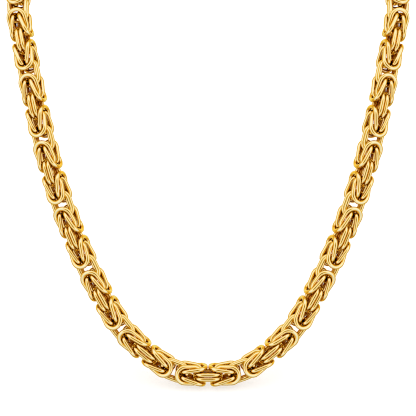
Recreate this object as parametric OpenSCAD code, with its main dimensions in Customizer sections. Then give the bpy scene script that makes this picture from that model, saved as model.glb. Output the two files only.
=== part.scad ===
// Byzantine chain necklace, in the form that it has when worn: a front that hangs in a deep curve,
// and a plain stretch round the back of the neck that is closed by a barrel clasp.
// Millimetres. +Z is up, the front of the necklace faces -Y, and the origin is the point of the
// clasp that lies on the nape.
// The weave repeats in pairs of links. Two links side by side are a connector. From it a knot runs
// to the next connector: one pair of splayed links hangs in each connector, and the two pairs
// cross inside each other. Each connector is turned a quarter against the one before it.

/* [Link] */
// Diameter of the round wire
wire_d = 1.5; // [1.4:0.05:1.55]
// Clear width inside a link
link_inner_w = 4.5; // [4.4:0.05:4.8]
// Clear length inside a link
link_inner_l = 7.55; // [7.45:0.05:7.9]
// Air between the two links of a connector
pair_gap = 0.13; // [0.12:0.01:0.15]

/* [Chain] */
// Repeats of the weave, two knots each, from the middle of the front to the clasp
repeats_a_side = 10; // [9:1:12]

/* [Clasp] */
// Diameter of the barrel
clasp_d = 7.6; // [7.2:0.2:9]
// Length of the barrel
clasp_l = 13; // [11:0.5:16]
// Rounding of the barrel's ends
clasp_round = 1.2; // [0.6:0.2:2]
// Air between an eye of the clasp and the last connector that passes through it
eye_gap = 0.35; // [0.2:0.05:0.6]

/* [Worn shape] */
// Lean of the front from upright, in degrees
front_lean = 25; // [15:1:35]
// Height up the lean at which the necklace starts to bend back towards the nape
bend_start = 70; // [50:5:90]
// Radius of that backward bend
bend_back = 200; // [160:10:300]

/* [Hidden] */

// Facets round the wire and round the bend of a link, for the preview mesh only
wire_facets = 32;
bend_facets = 64;

// The route of one half, chosen by hand, a row for each place. The columns are: the share of the
// half's length from the middle of the front, the heading there in degrees off the level line,
// and the roll of the chain's face away from the neck in degrees.
route = [
    [0.00,   0.0, 14],
    [0.08,  33.0, 18],
    [0.16,  58.0, 22],
    [0.28,  66.5, 26],
    [0.45,  76.5, 28],
    [0.65,  79.5, 20],
    [0.74, 112.5, 12],
    [0.88, 158.5,  3],
    [1.00, 180.0,  0],
];
share_col = 0;
heading_col = 1;
roll_col = 2;
// Share of a knot's length by which headings are read nearer to the connectors that bend most
bend_bias = 0.21;
// Passes that close the loop on the clasp
closing_passes = 4;

// A link's centre line: two half rounds joined by straight sides
bend_r = (link_inner_w + wire_d) / 2;
side_l = link_inner_l - link_inner_w;

// How far the weave's measures follow from the link, tried out on links of many proportions, so that
// wires that cross pass each other with about a tenth of the wire's diameter between them
// Distance between the centres of neighbouring connectors
pitch = 3.3 * bend_r + 1.45 * side_l - 1.55 * wire_d;
// Distance along the chain from a connector's centre to that of a splayed link
splay_reach = 1.77 * bend_r + 0.85 * side_l - 0.96 * wire_d;
// Distance of a splayed link's centre from the chain's axis
splay_off = 0.62 * bend_r + 0.06 * wire_d;
// Angle of a splayed link against the chain's axis
splay = 15.4 + (3.5 * bend_r - 3.85 * side_l) / wire_d;
// Distance by which a connector is drawn inwards where the chain bends by one radian
bend_pull = 0.77 * wire_d;
// Distance of each link of a connector from the chain's axis
pair_off = (wire_d + pair_gap) / 2;

// The clasp's eyes: a half round at the end of two straight wires that end inside the barrel
eye_r = pair_off + wire_d + eye_gap;
// Distance from a connector's centre to the near end of the eye that holds it, on the wire's centre
eye_reach = wire_d * 1.4;
// Distance between the end connectors' centres: the barrel and a clear stretch at each end
clasp_span = clasp_l + 2 * (bend_r + side_l / 2 + wire_d + eye_gap);

function unit(v) = v / norm(v);
// Part of v that is square to the unit vector n, as a unit vector
function square_to(v, n) = unit(v - (v * n) * n);
function column(table, c) = [for (row = table) [row[share_col], row[c]]];
function running_sum(v) = [for (i = 0, s = 0; i <= len(v); s = s + (i < len(v) ? v[i] : 0), i = i + 1) s];

// Heading of each knot. A connector whose links lie flat in the route bends easily, so the knots
// beside it read the route further from it and turn more there than at the next connector.
knots_a_side = 2 * repeats_a_side;
knot_ids = [for (i = [0:knots_a_side - 1]) i];
route_heading = column(route, heading_col);
read_heading = [for (i = knot_ids)
    lookup((i + 0.5 + (i % 2 == 0 ? -bend_bias : bend_bias)) / knots_a_side, route_heading)];
// Weight of the correction that closes the loop: none at the front and at the nape
ease = [for (i = knot_ids) let (t = (i + 0.5) / knots_a_side) 4 * t * (1 - t)];
function level_reach(turn) = pitch * sum_of([for (i = knot_ids) cos(read_heading[i] + turn * ease[i])]);
function reach_change(turn) = -pitch * PI / 180
    * sum_of([for (i = knot_ids) ease[i] * sin(read_heading[i] + turn * ease[i])]);
function sum_of(v) = v * [for (x = v) 1];
function closing_turn(turn, passes) = passes == 0 ? turn
    : closing_turn(turn - (level_reach(turn) - clasp_span / 2) / reach_change(turn), passes - 1);
turn = closing_turn(0, closing_passes);
heading = [for (i = knot_ids) read_heading[i] + turn * ease[i]];

// Connectors' places on the sheet that the necklace lies on: level distance and height up the sheet
level = running_sum([for (h = heading) pitch * cos(h)]);
height = running_sum([for (h = heading) pitch * sin(h)]);

// The sheet leans back by front_lean and bends further back above bend_start
function bent(h) = max(0, h - bend_start) / bend_back * 180 / PI;
function lean(h) = front_lean + bent(h);
function sheet_y(h) = min(h, bend_start) * sin(front_lean)
    + bend_back * (cos(front_lean) - cos(lean(h)));
function sheet_z(h) = min(h, bend_start) * cos(front_lean)
    + bend_back * (sin(lean(h)) - sin(front_lean));
function sheet_normal(h) = [0, -cos(lean(h)), sin(lean(h))];
function sheet_up(h) = [0, sin(lean(h)), cos(lean(h))];

// The nape point, where the barrel's side lies on the neck, is the origin
last = knots_a_side;
clasp_centre = [0, sheet_y(height[last]), sheet_z(height[last])];
nape = clasp_centre - sheet_up(height[last]) * clasp_d / 2;

// Half on the +X side: connectors' centres, then each knot's direction, face and side
joint = [for (i = [0:last]) [level[i], sheet_y(height[i]), sheet_z(height[i])] - nape];
along = [for (i = knot_ids) unit(joint[i + 1] - joint[i])];
route_roll = column(route, roll_col);
face = [for (i = knot_ids)
    let (
        h = (height[i] + height[i + 1]) / 2,
        n = square_to(sheet_normal(h), along[i]),
        outward = cross(n, along[i]),
        roll = lookup((i + 0.5) / knots_a_side, route_roll)
    ) n * cos(roll) - outward * sin(roll)];

// A link lies in its own XY plane, its length along X
module link() {
    for (end = [1, -1]) {
        translate([end * side_l / 2, 0, 0])
            rotate([0, 0, end == 1 ? -90 : 90])
                rotate_extrude(angle = 180, $fn = bend_facets)
                    translate([bend_r, 0])
                        circle(d = wire_d, $fn = wire_facets);
        translate([-side_l / 2, end * bend_r, 0])
            rotate([0, 90, 0])
                cylinder(h = side_l, d = wire_d, $fn = wire_facets);
    }
}

// Puts what lies in the XY plane at c, its X along u and its Y along v
module laid(c, u, v) {
    n = cross(u, v);
    multmatrix([
        [u.x, v.x, n.x, c.x],
        [u.y, v.y, n.y, c.y],
        [u.z, v.z, n.z, c.z],
        [0, 0, 0, 1],
    ])
        children();
}

// Two links side by side, apart along the chain's side at even connectors and along its face at odd ones
module connector(c, t, f, even) {
    s = cross(f, t);
    apart = even ? s : f;
    across = even ? f : s;
    for (k = [1, -1])
        laid(c + k * pair_off * apart, t, across)
            link();
}

// Two splayed links that hang in the connector at c and reach along t
module splayed_pair(c, t, f, even) {
    s = cross(f, t);
    apart = even ? f : s;
    across = even ? s : f;
    for (k = [1, -1])
        laid(c + splay_reach * t + k * splay_off * apart, cos(splay) * t + k * sin(splay) * apart, across)
            link();
}

module knot(i) {
    splayed_pair(joint[i], along[i], face[i], i % 2 == 0);
    splayed_pair(joint[i + 1], -along[i], face[i], i % 2 == 1);
}

// A connector turns half way between its neighbours and is drawn to the inside of the bend
module joined_connector(i, before, after, face_before, face_after) {
    t = unit(before + after);
    f = square_to(face_before + face_after, t);
    connector(joint[i] + bend_pull * (after - before), t, f, i % 2 == 0);
}

// Everything on the +X side, apart from the connector in the middle of the front
module chain_half() {
    for (i = knot_ids)
        knot(i);
    for (i = [1:last - 1])
        joined_connector(i, along[i - 1], along[i], face[i - 1], face[i]);
    joined_connector(last, along[last - 1], [-1, 0, 0], face[last - 1], face[last - 1]);
}

module front_connector() {
    before = [along[0].x, -along[0].y, -along[0].z];
    face_before = [-face[0].x, face[0].y, face[0].z];
    joined_connector(0, before, along[0], face_before, face[0]);
}

module chain_right() {
    color("gold") {
        chain_half();
        front_connector();
    }
}

module chain_left() {
    color("gold")
        mirror([1, 0, 0])
            chain_half();
}

// Half round and two straight wires, in the XY plane, from the barrel to the eye's end at +X
module eye(end_x) {
    translate([end_x, 0, 0])
        rotate([0, 0, -90])
            rotate_extrude(angle = 180, $fn = bend_facets)
                translate([eye_r, 0])
                    circle(d = wire_d, $fn = wire_facets);
    for (k = [1, -1])
        translate([0, k * eye_r, 0])
            rotate([0, 90, 0])
                cylinder(h = end_x, d = wire_d, $fn = wire_facets);
}

// Barrel along X with rounded ends
module barrel() {
    steps = 6;
    corner = [for (i = [0:steps]) let (a = 90 * i / steps)
        [clasp_d / 2 - clasp_round * (1 - cos(a)), clasp_l / 2 - clasp_round * (1 - sin(a))]];
    outline = concat([[0, -clasp_l / 2]], [for (i = [steps:-1:0]) [corner[i].x, -corner[i].y]],
        corner, [[0, clasp_l / 2]]);
    rotate([0, 90, 0])
        rotate_extrude($fn = bend_facets)
            polygon(outline);
}

module clasp() {
    centre_of_end = clasp_span / 2 - eye_reach - eye_r;
    color("gold")
        laid(clasp_centre - nape, [1, 0, 0], square_to(cross(face[last - 1], along[last - 1]), [1, 0, 0])) {
            barrel();
            eye(centre_of_end);
            rotate([0, 0, 180])
                eye(centre_of_end);
        }
}

chain_right();
chain_left();
clasp();
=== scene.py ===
import math

import bpy
import numpy as np
from mathutils import Matrix, Vector


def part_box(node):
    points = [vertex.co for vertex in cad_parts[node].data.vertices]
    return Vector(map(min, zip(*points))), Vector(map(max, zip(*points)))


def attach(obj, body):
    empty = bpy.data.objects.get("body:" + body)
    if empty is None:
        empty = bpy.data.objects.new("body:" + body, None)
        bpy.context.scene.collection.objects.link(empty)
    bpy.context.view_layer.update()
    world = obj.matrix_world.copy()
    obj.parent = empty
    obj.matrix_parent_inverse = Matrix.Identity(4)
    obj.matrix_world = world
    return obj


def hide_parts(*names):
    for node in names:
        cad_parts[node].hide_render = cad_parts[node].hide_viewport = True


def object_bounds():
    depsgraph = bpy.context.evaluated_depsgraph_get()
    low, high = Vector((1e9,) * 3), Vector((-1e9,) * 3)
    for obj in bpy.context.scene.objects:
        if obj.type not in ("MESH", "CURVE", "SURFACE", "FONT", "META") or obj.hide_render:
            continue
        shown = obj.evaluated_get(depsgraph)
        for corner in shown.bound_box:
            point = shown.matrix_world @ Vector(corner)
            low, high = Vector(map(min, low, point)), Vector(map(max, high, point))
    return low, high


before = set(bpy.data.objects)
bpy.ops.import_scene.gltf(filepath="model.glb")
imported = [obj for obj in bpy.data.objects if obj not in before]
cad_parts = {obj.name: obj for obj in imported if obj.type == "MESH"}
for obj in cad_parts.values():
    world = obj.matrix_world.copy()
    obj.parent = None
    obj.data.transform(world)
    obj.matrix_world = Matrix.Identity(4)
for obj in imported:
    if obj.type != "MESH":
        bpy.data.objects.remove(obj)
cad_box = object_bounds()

MM = 0.001

# Fineness of the meshes that stand for the CAD solids: the sides of a wire, the steps round a bend,
# along a link's straight side and along an eye's straight wire, the barrel's sides, and the steps
# round its edges
WIRE_SIDES = 20
BEND_STEPS = 24
SIDE_STEPS = 6
EYE_STEPS = 16
BARREL_SIDES = 96
ROUND_STEPS = 8
# CAD vertices nearer to each other than this are one
WELD = 0.002 * MM

# Solder seam of a link: how far it stands proud of the wire, half its length along the wire, and the
# side that it is turned to, behind the necklace and slightly below
SEAM_HEIGHT = 0.035 * MM
SEAM_HALF = 0.45 * MM
SEAM_SIDE = (0.3, 1, -0.4)

# Links whose middles are further apart than this don't shade each other
NEAR_LINKS = 11 * MM
# Links whose middles are nearer than this to the mirror plane lie in it
IN_MIDDLE = 0.5 * MM

# Clasp: the barrel's length and the rounding of its edges, the wire of its eyes, how deep they are
# let into the barrel, and how far the solder round them stands out and runs along them
BARREL_LENGTH = 13 * MM
BARREL_ROUND = 1.2 * MM
EYE_WIRE = 1.5 * MM
EYE_LET_IN = 1.5 * MM
SOLDER_HEIGHT = 0.28 * MM
SOLDER_LENGTH = 0.22 * MM

# Gold: its yellow tone and a slightly redder one, its tint at grazing angles, and the painted shade that
# darkens its colour half way into the depths of the weave and at their bottom
YELLOW_GOLD = "#FFD861"
REDDER_GOLD = "#FFD55D"
GRAZING_GOLD = "#F9DF9B"
SHADE_HALF_WAY = "#D2AE5C"
SHADE_AT_BOTTOM = "#633707"
# Crowding by other wires at which the painted shade of the depths begins, and at which it is darkest
DEPTHS = (0.95, 2.2)
# Width of the patches of one tone, a link or so
TONE_PATCH = 9 * MM
# Pits left by the tumbling are a tenth of a millimetre wide, drawn three times as coarse to show.
# The polish is the roughness between them and in them.
PIT = 0.3 * MM
POLISH = (0.07, 0.12)
# Width and height of the low waves left by drawing and bending the wire
WAVE_WIDTH = 1.6 * MM
WAVE_HEIGHT = 0.004 * MM

# Floor: its colour, the light through it, half its width, and how far it lies under the necklace
MILKY = "#BCBBBA"
THROUGH = "#FFFDFB"
THROUGH_STRENGTH = 0.5
FLOOR_HALF = 3.0
FLOOR_DROP = 1 * MM

# Camera. The photograph's middle lies PHOTO_MIDDLE_UP above the axis of the lowest connector, along
# a picture plane that leans back as the front of the necklace does.
FRONT_LEAN = math.radians(25)
PICTURE_WIDTH = 145.5 * MM
PHOTO_MIDDLE_UP = 58.3 * MM
CAMERA_DISTANCE = 1.0
SENSOR = 36

# The light tent. Its cloth is cool where daylight falls on it, which gold turns to cream, and warmer
# the dimmer it is.
DAYLIGHT = "#8191FF"
PALE = "#FFF3D4"
LAMPLIGHT = "#FFEAB4"
AMBER = "#FFDB81"
# Brightness of the cloth from behind the necklace (-1) to the opening for the camera (1), by the
# cosine of the angle from the camera
TENT = (
    (-1, 0.5, LAMPLIGHT),
    (-0.93, 0.75, PALE),
    (-0.89, 3.45, DAYLIGHT),
    (-0.68, 3.6, DAYLIGHT),
    (-0.64, 0.84, PALE),
    (-0.5, 0.84, PALE),
    (-0.3, 0.59, LAMPLIGHT),
    (-0.1, 0.59, LAMPLIGHT),
    (0.1, 0.77, PALE),
    (0.16, 3.45, DAYLIGHT),
    (0.6, 3.9, DAYLIGHT),
    (0.8, 3.9, DAYLIGHT),
    (0.845, 0.79, PALE),
    (0.9, 0.63, LAMPLIGHT),
    (0.96, 0.46, LAMPLIGHT),
    (0.985, 0.36, AMBER),
    (0.994, 0.1, AMBER),
    (0.998, 0, AMBER),
)
# The plain white room, which lights the floor and is seen behind the necklace
ROOM_LIGHT = 1.06
# The tent is dimmer below: the sines of the heights at which it is dimmest and fully bright, and its
# share of light where it is dimmest
DIMMEST_AT = -0.9
BRIGHT_FROM = 0.0
DIMMEST_SHARE = 0.7
# Width in pixels over which the camera blends its samples, for the sharpness of the photograph
PIXEL_BLEND = 1.15


def srgb(hex_colour):
    """Linear RGBA of an sRGB hex colour."""
    parts = [int(hex_colour[i:i + 2], 16) / 255 for i in (1, 3, 5)]
    return [c / 12.92 if c <= 0.04045 else ((c + 0.055) / 1.055) ** 2.4 for c in parts] + [1]


def add(tree, kind, inputs=None, stops=(), **settings):
    """Adds a node. inputs maps a socket's name or number to a value or to the socket that feeds it.
    stops are the positions and linear colours of a colour ramp."""
    node = tree.nodes.new(kind)
    for name, value in settings.items():
        setattr(node, name, value)
    for name, value in (inputs or {}).items():
        if isinstance(value, bpy.types.NodeSocket):
            tree.links.new(value, node.inputs[name])
        else:
            node.inputs[name].default_value = value
    if stops:
        elements = node.color_ramp.elements
        elements.remove(elements[1])
        for number, (position, colour) in enumerate(stops):
            element = elements.new(position) if number else elements[0]
            element.position, element.color = position, colour
    return node


def new_material(name):
    """A material and its empty node tree."""
    material = bpy.data.materials.new(name)
    material.use_nodes = True
    material.node_tree.nodes.clear()
    return material, material.node_tree


def polished_gold():
    """Yellow gold of 14 carat, drawn to wire, bent, soldered and tumbled bright: a warm mirror, with
    reflections that waver a little along the wire and a tone that is redder here and there."""
    material, tree = new_material("polished_yellow_gold")
    place = add(tree, "ShaderNodeTexCoord").outputs["Object"]
    patches = add(tree, "ShaderNodeTexNoise", {"Vector": place, "Scale": 1 / TONE_PATCH, "Detail": 2})
    tone = add(tree, "ShaderNodeMix", {
        "Factor": patches.outputs["Fac"], "A": srgb(YELLOW_GOLD), "B": srgb(REDDER_GOLD)}, data_type="RGBA")
    # Painted shade: the depths of the weave, shut in by other wires, are darkened to brown by their
    # crowding
    recess = add(tree, "ShaderNodeAttribute", attribute_name="recess")
    depth = add(tree, "ShaderNodeMapRange", {
        "Value": recess.outputs["Fac"], "From Min": DEPTHS[0], "From Max": DEPTHS[1]},
        interpolation_type="SMOOTHSTEP")
    painted_shade = add(tree, "ShaderNodeValToRGB", {"Fac": depth.outputs["Result"]},
        stops=[(0, srgb("#FFFFFF")), (0.5, srgb(SHADE_HALF_WAY)), (1, srgb(SHADE_AT_BOTTOM))])
    colour = add(tree, "ShaderNodeMix", {
        "Factor": 1, "A": tone.outputs["Result"], "B": painted_shade.outputs["Color"]},
        data_type="RGBA", blend_type="MULTIPLY")
    pits = add(tree, "ShaderNodeTexNoise", {"Vector": place, "Scale": 1 / PIT, "Detail": 3})
    rough = add(tree, "ShaderNodeMapRange", {
        "Value": pits.outputs["Fac"], "To Min": POLISH[0], "To Max": POLISH[1]})
    waves = add(tree, "ShaderNodeTexNoise", {"Vector": place, "Scale": 1 / WAVE_WIDTH, "Detail": 1})
    relief = add(tree, "ShaderNodeBump", {
        "Height": waves.outputs["Fac"], "Strength": 1, "Distance": WAVE_HEIGHT})
    gold = add(tree, "ShaderNodeBsdfPrincipled", {
        "Base Color": colour.outputs["Result"], "Metallic": 1, "Roughness": rough.outputs["Result"],
        "Specular Tint": srgb(GRAZING_GOLD), "Normal": relief.outputs["Normal"]})
    add(tree, "ShaderNodeOutputMaterial", {"Surface": gold.outputs["BSDF"]})
    return material


def milky_acrylic():
    """Cast acrylic, milky and matt, with soft light from beneath that keeps the shadows on it pale."""
    material, tree = new_material("matt_milky_acrylic")
    sheet = add(tree, "ShaderNodeBsdfDiffuse", {"Color": srgb(MILKY), "Roughness": 1})
    glow = add(tree, "ShaderNodeEmission", {"Color": srgb(THROUGH), "Strength": THROUGH_STRENGTH})
    both = add(tree, "ShaderNodeAddShader", {0: sheet.outputs["BSDF"], 1: glow.outputs["Emission"]})
    add(tree, "ShaderNodeOutputMaterial", {"Surface": both.outputs["Shader"]})
    return material


def mesh_object(name, corners, faces, material):
    """A smooth mesh from an array of corners and a list of faces."""
    mesh = bpy.data.meshes.new(name)
    mesh.from_pydata(corners.tolist(), [], faces)
    mesh.shade_smooth()
    mesh.materials.append(material)
    piece = bpy.data.objects.new(name, mesh)
    bpy.context.scene.collection.objects.link(piece)
    return piece


def solids_of(node):
    """The corner points of each separate solid in a CAD node."""
    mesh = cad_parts[node].data
    corners = np.empty(len(mesh.vertices) * 3)
    mesh.vertices.foreach_get("co", corners)
    edges = np.empty(len(mesh.edges) * 2, int)
    mesh.edges.foreach_get("vertices", edges)
    cells = np.round(corners.reshape(-1, 3) / WELD).astype(int)
    cells, cell_of = np.unique(cells, axis=0, return_inverse=True)
    a, b = cell_of.ravel()[edges.reshape(-1, 2)].T
    # Each point takes the lowest number that it can reach along edges
    label = np.arange(len(cells))
    while True:
        before = label.copy()
        np.minimum.at(label, a, label[b])
        np.minimum.at(label, b, label[a])
        label = label[label]
        if (label == before).all():
            break
    return [cells[label == k] * WELD for k in np.unique(label)]


def link_place(points):
    """Centre, axes as rows (along the link, across it, square to it) and extents of a link. Across
    points to the side that the seam is turned to."""
    middle = points.mean(0)
    along, across = np.linalg.eigh(np.cov((points - middle).T))[1].T[:0:-1]
    across = across * (1 if across @ SEAM_SIDE > 0 else -1)
    axes = np.array([along, across, np.cross(along, across)])
    local = (points - middle) @ axes.T
    low, high = local.min(0), local.max(0)
    return middle + (low + high) / 2 @ axes, axes, high - low


def tube(path, across, normal, radius):
    """Corners of a round wire and the directions in which they face, from the points of its path,
    the unit vectors across it and its radius at each."""
    turn = 2 * np.pi * np.arange(WIRE_SIDES) / WIRE_SIDES
    ring = np.cos(turn)[None, :, None] * across[:, None, :] + np.sin(turn)[None, :, None] * normal
    return (path[:, None, :] + radius[:, None, None] * ring).reshape(-1, 3), ring.reshape(-1, 3)


def rings_joined(count, sides, closed):
    """Faces between neighbouring rings of corners, and end faces unless the rings close on themselves."""
    ring, side = np.meshgrid(np.arange(count if closed else count - 1), np.arange(sides), indexing="ij")
    after, beside = (ring + 1) % count, (side + 1) % sides
    faces = np.stack([ring * sides + side, after * sides + side, after * sides + beside,
        ring * sides + beside], -1).reshape(-1, 4).tolist()
    if not closed:
        faces.append(list(range(sides)))
        faces.append([(count - 1) * sides + s for s in reversed(range(sides))])
    return faces


def link_path(extent):
    """Centre line of a link in its own plane and the unit vectors across the wire there."""
    length, width, wire = extent
    bend, side = (width - wire) / 2, length - width
    angle = np.linspace(-np.pi / 2, np.pi / 2, BEND_STEPS, endpoint=False)
    run = np.linspace(side / 2, -side / 2, SIDE_STEPS, endpoint=False)
    # Half of the centre line: a half round at +X, then the straight side at +Y
    x = np.concatenate([side / 2 + bend * np.cos(angle), run])
    y = np.concatenate([bend * np.sin(angle), 0 * run + bend])
    across_x = np.concatenate([np.cos(angle), 0 * run])
    across_y = np.concatenate([np.sin(angle), 0 * run + 1])
    level = np.zeros(2 * len(x))
    path = np.stack([np.append(x, -x), np.append(y, -y), level], -1)
    return path, np.stack([np.append(across_x, -across_x), np.append(across_y, -across_y), level], -1)


def crowding(corners, facing, lines, step, wire):
    """How much of the view from each corner is taken up by the wires whose centre lines are given:
    0 in the open, and 1 or more where a corner is shut in."""
    square = (corners ** 2).sum(1)[:, None] + (lines ** 2).sum(1) - 2 * (corners @ lines.T)
    ahead = facing @ lines.T - (facing * corners).sum(1)[:, None]
    return (np.maximum(ahead, 0) / square ** 1.5).sum(1) * wire * step / math.pi


def barrel(radius):
    """Corners and faces of a plain turned barrel along X, with rounded edges and flat ends."""
    quarter = np.linspace(0, np.pi / 2, ROUND_STEPS)
    edge_at = BARREL_LENGTH / 2 - BARREL_ROUND * (1 - np.cos(quarter))
    edge_radius = radius - BARREL_ROUND * (1 - np.sin(quarter))
    at = np.concatenate([-edge_at, edge_at[::-1]])
    around = np.concatenate([edge_radius, edge_radius[::-1]])
    turn = 2 * np.pi * np.arange(BARREL_SIDES) / BARREL_SIDES
    corners = np.stack([np.repeat(at, BARREL_SIDES), np.outer(around, np.cos(turn)).ravel(),
        np.outer(around, np.sin(turn)).ravel()], -1)
    return corners, rings_joined(len(at), BARREL_SIDES, False)


def eye(end, reach, half, across):
    """Corners and faces of the wire eye in the barrel's end at +X or -X. Its bend has the half width
    given and ends at reach, and across is the direction across it, in Y and Z."""
    angle = np.linspace(-np.pi / 2, np.pi / 2, BEND_STEPS + 1)
    bend_at = reach - EYE_WIRE / 2 - half
    straight = np.linspace(BARREL_LENGTH / 2 - EYE_LET_IN, bend_at, EYE_STEPS, endpoint=False)
    out = np.concatenate([straight, bend_at + half * np.cos(angle), straight[::-1]])
    side = np.concatenate([0 * straight - half, half * np.sin(angle), 0 * straight + half])
    facing = np.concatenate([0 * straight - np.pi / 2, angle, 0 * straight + np.pi / 2])
    # Rows: the directions out of the barrel and across the eye
    plane = end * np.array([[1, 0, 0], [0, *across]])
    path = np.stack([out, side], -1) @ plane
    wide = np.stack([np.cos(facing), np.sin(facing)], -1) @ plane
    # The solder thickens the wire where it enters the barrel and runs out along it
    beyond = np.maximum(out - BARREL_LENGTH / 2 + BARREL_ROUND / 4, 0)
    solder = SOLDER_HEIGHT * np.exp(-beyond / SOLDER_LENGTH)
    corners, _ = tube(path, wide, np.array([0, -across[1], across[0]]), EYE_WIRE / 2 + solder)
    return corners, rings_joined(len(path), WIRE_SIDES, False)


def clasp_piece(material):
    """Plain barrel clasp with an eye of round wire soldered into each end."""
    low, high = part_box("clasp")
    middle, reach = (low + high) / 2, (high.x - low.x) / 2
    # The CAD points beyond the barrel give the eyes' direction across and half width
    points = np.concatenate(solids_of("clasp")) - middle
    bend = points[points[:, 0] > reach - EYE_WIRE][:, 1:]
    across = np.linalg.eigh(np.cov(bend.T))[1][:, 1]
    clear = points[points[:, 0] > BARREL_LENGTH / 2 + EYE_WIRE][:, 1:]
    half = np.abs(clear @ across).max() - EYE_WIRE / 2
    parts = [barrel((high.z - low.z) / 2), eye(1, reach, half, across), eye(-1, reach, half, across)]
    faces, first = [], 0
    for corners, part_faces in parts:
        faces += [[first + corner for corner in face] for face in part_faces]
        first += len(corners)
    corners = np.concatenate([corners for corners, _ in parts]) + middle
    piece = mesh_object("barrel_clasp", corners, faces, material)
    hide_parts("clasp")
    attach(piece, "root")


def chain_pieces(material):
    """Fine links in place of the CAD ones: for each half, the front that hangs and the stretch up to
    the nape. Gives the middle of the lowest connector."""
    halves = {side: [link_place(p) for p in solids_of("chain_" + side)] for side in ("right", "left")}
    everywhere = halves["right"] + halves["left"]
    extent = np.mean([place[2] for place in everywhere], 0)
    path, across = link_path(extent)
    seam = np.exp(-(path[:, 0] / SEAM_HALF) ** 2) * (path[:, 1] > 0)
    shape, facing = tube(path, across, np.array([0, 0, 1]), extent[2] / 2 + SEAM_HEIGHT * seam)
    faces = np.array(rings_joined(len(path), WIRE_SIDES, True))
    # Mean distance between the points of the centre line
    step = 2 * (math.pi * (extent[1] - extent[2]) / 2 + extent[0] - extent[1]) / len(path)
    middles = np.array([place[0] for place in everywhere])
    lines = np.array([middle + path @ axes for middle, axes, _ in everywhere])
    for side, places in halves.items():
        places = sorted(places, key=lambda place: place[0][2])
        half = len(places) // 2
        for stretch, part in (("front", places[:half]), ("back", places[half:])):
            corners, recess = [], []
            for middle, axes, _ in part:
                near = lines[np.linalg.norm(middles - middle, axis=1) < NEAR_LINKS].reshape(-1, 3)
                corners.append(middle + shape @ axes)
                recess.append(crowding(shape @ axes, facing @ axes, near - middle, step, extent[2]))
            joined = np.concatenate([faces + i * len(shape) for i in range(len(part))]).tolist()
            piece = mesh_object(f"links_{side}_{stretch}", np.concatenate(corners), joined, material)
            # Crowding of each corner by other wires, which the gold turns into painted shade
            attribute = piece.data.attributes.new("recess", "FLOAT", "POINT")
            attribute.data.foreach_set("value", np.concatenate(recess))
            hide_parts("chain_" + side)
            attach(piece, "root")
    # The lowest links in the mirror plane are the connector in the middle of the front
    in_plane = middles[np.abs(middles[:, 0]) < IN_MIDDLE]
    return in_plane[np.argsort(in_plane[:, 2])][:2].mean(0)


def make_camera(lowest_connector):
    """Looks at the front of the necklace, square to the plane that it hangs in. Gives the direction
    from the necklace to the camera."""
    right = Vector((1, 0, 0))
    up = Vector((0, math.sin(FRONT_LEAN), math.cos(FRONT_LEAN)))
    back = right.cross(up)
    camera = bpy.data.objects.new("camera", bpy.data.cameras.new("camera"))
    bpy.context.scene.collection.objects.link(camera)
    camera.matrix_world = Matrix((right, up, back)).transposed().to_4x4()
    camera.location = Vector(lowest_connector) + PHOTO_MIDDLE_UP * up + CAMERA_DISTANCE * back
    camera.data.sensor_width = SENSOR
    camera.data.lens = SENSOR * CAMERA_DISTANCE / PICTURE_WIDTH
    bpy.context.scene.camera = camera
    return back


def light_tent(back):
    """A tent of white cloth for the gold to mirror, in a plain white room."""
    world = bpy.data.worlds.new("light_tent")
    bpy.context.scene.world = world
    world.use_nodes = True
    tree = world.node_tree
    tree.nodes.clear()
    direction = add(tree, "ShaderNodeTexCoord").outputs["Generated"]
    towards = add(tree, "ShaderNodeVectorMath", {0: direction, 1: back}, operation="DOT_PRODUCT")
    share = add(tree, "ShaderNodeMapRange", {"Value": towards.outputs["Value"], "From Min": -1})
    cloth = add(tree, "ShaderNodeValToRGB", {"Fac": share.outputs["Result"]}, stops=[
        ((cosine + 1) / 2, [level * c for c in srgb(tint)[:3]] + [1]) for cosine, level, tint in TENT])
    # Dimmer below, so that the undersides of the wires turn amber
    height = add(tree, "ShaderNodeSeparateXYZ", {0: direction}).outputs["Z"]
    shade = add(tree, "ShaderNodeMapRange", {
        "Value": height, "From Min": DIMMEST_AT, "From Max": BRIGHT_FROM, "To Min": DIMMEST_SHARE})
    lit = add(tree, "ShaderNodeVectorMath", {0: cloth.outputs["Color"], 1: shade.outputs["Result"]},
        operation="MULTIPLY")
    mirrored = add(tree, "ShaderNodeBackground", {"Color": lit.outputs["Vector"]})
    room = add(tree, "ShaderNodeBackground", {"Color": srgb("#FFFFFF"), "Strength": ROOM_LIGHT})
    in_gold = add(tree, "ShaderNodeLightPath").outputs["Is Glossy Ray"]
    both = add(tree, "ShaderNodeMixShader", {0: in_gold, 1: room.outputs[0], 2: mirrored.outputs[0]})
    add(tree, "ShaderNodeOutputWorld", {"Surface": both.outputs[0]})


gold = polished_gold()
back = make_camera(chain_pieces(gold))
clasp_piece(gold)
light_tent(back)

corners = FLOOR_HALF * np.array([[-1, -1, 0], [1, -1, 0], [1, 1, 0], [-1, 1, 0]])
floor = mesh_object("floor", corners, [[0, 1, 2, 3]], milky_acrylic())
floor.location.z = cad_box[0].z - FLOOR_DROP
floor.visible_glossy = False

# A print with the contrast of the photograph
bpy.context.scene.view_settings.view_transform = "Standard"
bpy.context.scene.view_settings.look = "Medium High Contrast"
bpy.context.scene.cycles.filter_width = PIXEL_BLEND
